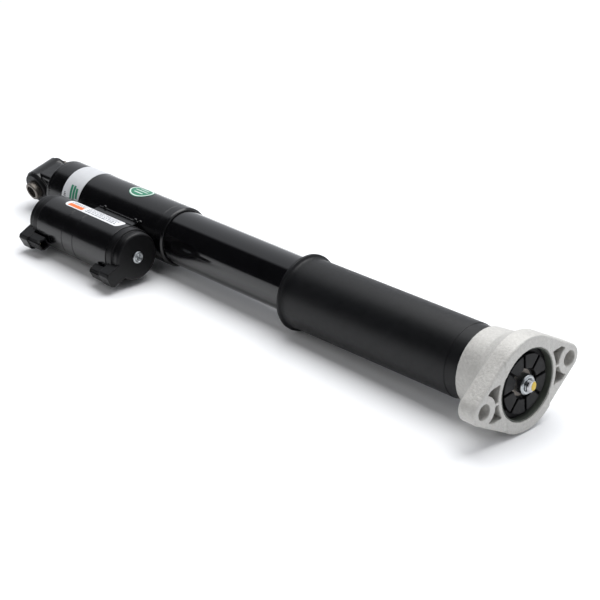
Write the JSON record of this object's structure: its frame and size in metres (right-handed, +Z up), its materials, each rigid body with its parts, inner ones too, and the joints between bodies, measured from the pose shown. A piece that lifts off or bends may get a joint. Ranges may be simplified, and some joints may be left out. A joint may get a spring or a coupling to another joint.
{
  "type": "rear shock absorber",
  "caption": "Telescopic rear shock absorber with a rubber-bushed lower eye, dust cover, cast two-bolt top mount and a side valve unit with plug sockets.",
  "frame": {"origin": "centre of the lower eye's bolt bore", "axes": "+X along the shock axis from the lower eye to the top mount, +Z up as the shock lies on a floor, the valve unit on the -Y side"},
  "size_m": [0.64, 0.1517, 0.0806],
  "materials": {
    "painted_black": "glossy black paint",
    "tube_gloss": "high-gloss black paint",
    "cast_aluminium": "fine sand-cast",
    "machined_aluminium": "machined",
    "rubber": "matte",
    "bush_steel": "phosphated",
    "steel": "turned",
    "zinc_steel": "zinc plated",
    "bush_ring_steel": "grey-green coating",
    "hard_chrome": "ground and polished",
    "cover_plastic": "moulded matte",
    "cap_plastic": "moulded satin",
    "bobbin_plastic": "moulded",
    "ptfe": "filled polymer",
    "bump_foam": "closed-cell foam",
    "white_print": "printed film",
    "green_print": "printed film",
    "bronze": "sintered",
    "copper_winding": "enamelled wire",
    "contact_brass": "tinned"
  },
  "bodies": {
    "cylinder": {"eye_fork": "painted_black", "eye_weld": "painted_black", "eye_rubber_bush": "rubber", "base_cap": "painted_black", "outer_tube": "tube_gloss", "jacket": "painted_black", "jacket_end_ring": "painted_black", "pressure_tube": "steel", "identification_band": "white_print", "jacket_badge": "green_print", "rod_guide": "machined_aluminium", "guide_bush": "bronze", "rod_seal": "rubber", "retaining_ring": "steel", "bump_cap": "cap_plastic", "rod_wiper": "rubber", "valve_tube": "painted_black", "valve_saddle": "painted_black", "far_port_tube": "steel", "near_port_tube": "steel", "valve_label": "white_print", "near_valve_cap": "cap_plastic", "far_valve_cap": "cap_plastic", "valve_cap_orings": "rubber", "socket_pins": "contact_brass", "cap_screws": "zinc_steel", "valve_cages": "machined_aluminium", "coil_bobbins": "bobbin_plastic", "valve_coils": "copper_winding", "pole_cores": "steel"},
    "eye_sleeve": {"eye_inner_sleeve": "bush_steel"},
    "gas_piston": {"gas_piston": "machined_aluminium", "gas_piston_oring": "rubber"},
    "piston_seal": {"piston_band": "ptfe"},
    "rod_and_mount": {"piston_rod": "hard_chrome", "rebound_stop": "steel", "compression_shims": "steel", "piston": "steel", "rebound_shims": "steel", "piston_nut": "zinc_steel", "dust_cover": "cover_plastic", "bump_stop": "bump_foam", "bump_stop_cup": "zinc_steel", "top_mount_casting": "cast_aluminium", "mount_bush_ring": "bush_ring_steel", "mount_rubber_bush": "rubber", "mount_core": "bush_steel", "rod_washer": "zinc_steel", "rod_nut": "zinc_steel"},
    "near_valve": {"near_armature": "steel", "near_spool": "zinc_steel", "near_valve_spring": "steel"},
    "far_valve": {"far_armature": "steel", "far_spool": "zinc_steel", "far_valve_spring": "steel"}
  },
  "joints": [
    {"name": "damper_stroke", "type": "slide", "parent": "cylinder", "child": "piston_seal", "axis": [-1, 0, 0], "range_m": [0, 0.136], "stiffness_N_per_m": 150, "springref_m": -0.2},
    {"name": "rod_spin", "type": "hinge", "parent": "piston_seal", "child": "rod_and_mount", "pos_m": [0.3375, 0, 0], "axis": [1, 0, 0], "continuous": true},
    {"name": "gas_piston_slide", "type": "slide", "parent": "cylinder", "child": "gas_piston", "axis": [-1, 0, 0], "range_m": [0, 0.0186]},
    {"name": "eye_sleeve_twist", "type": "hinge", "parent": "cylinder", "child": "eye_sleeve", "pos_m": [0, 0, 0], "axis": [0, 0.9563, 0.2924], "range_deg": [-15, 15], "stiffness_Nm_per_rad": 20},
    {"name": "near_valve_slide", "type": "slide", "parent": "cylinder", "child": "near_valve", "axis": [1, 0, 0], "range_m": [0, 0.0015], "stiffness_N_per_m": 300, "springref_m": -0.002},
    {"name": "far_valve_slide", "type": "slide", "parent": "cylinder", "child": "far_valve", "axis": [-1, 0, 0], "range_m": [0, 0.0015], "stiffness_N_per_m": 300, "springref_m": -0.002}
  ],
  "couplings": [
    {"joint": "gas_piston_slide", "follows": "damper_stroke", "ratio": 0.13573}
  ]
}
